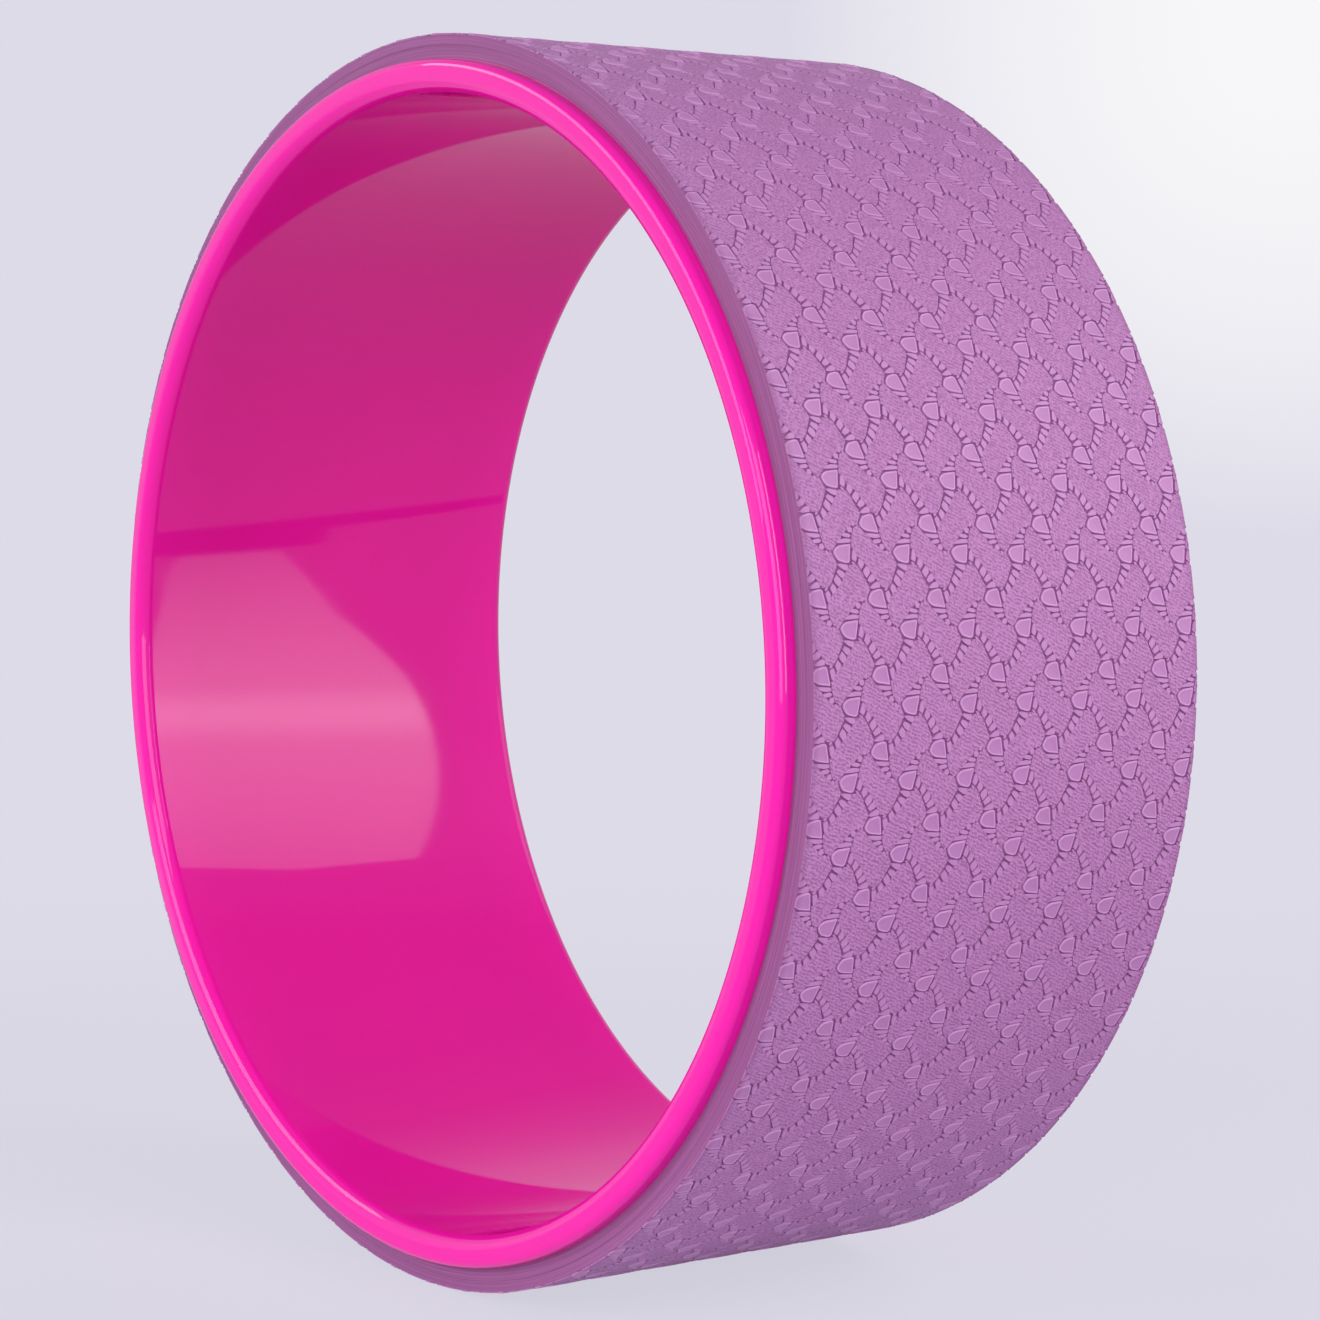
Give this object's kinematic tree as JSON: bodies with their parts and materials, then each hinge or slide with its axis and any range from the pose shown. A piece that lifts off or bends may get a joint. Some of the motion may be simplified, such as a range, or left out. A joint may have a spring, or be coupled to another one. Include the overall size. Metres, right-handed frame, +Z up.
{
  "type": "yoga wheel",
  "caption": "Upright yoga wheel: a glossy moulded hoop with rounded lips and an embossed two-ply foam mat bonded round it, for back stretches and balance work.",
  "frame": {"origin": "centre of the wheel, on its axis and midway between the two lips", "axes": "+Y along the wheel's axis, +Z up as the wheel stands on its tread"},
  "size_m": [0.33, 0.13, 0.33],
  "materials": {
    "hoop_gloss": "gloss",
    "adhesive_film": "matte",
    "mat_foam": "matte"
  },
  "bodies": {
    "root": {"rim_hoop": "hoop_gloss", "adhesive_layer": "adhesive_film", "mat_base_ply": "mat_foam", "mat_top_ply": "mat_foam"}
  },
  "joints": []
}
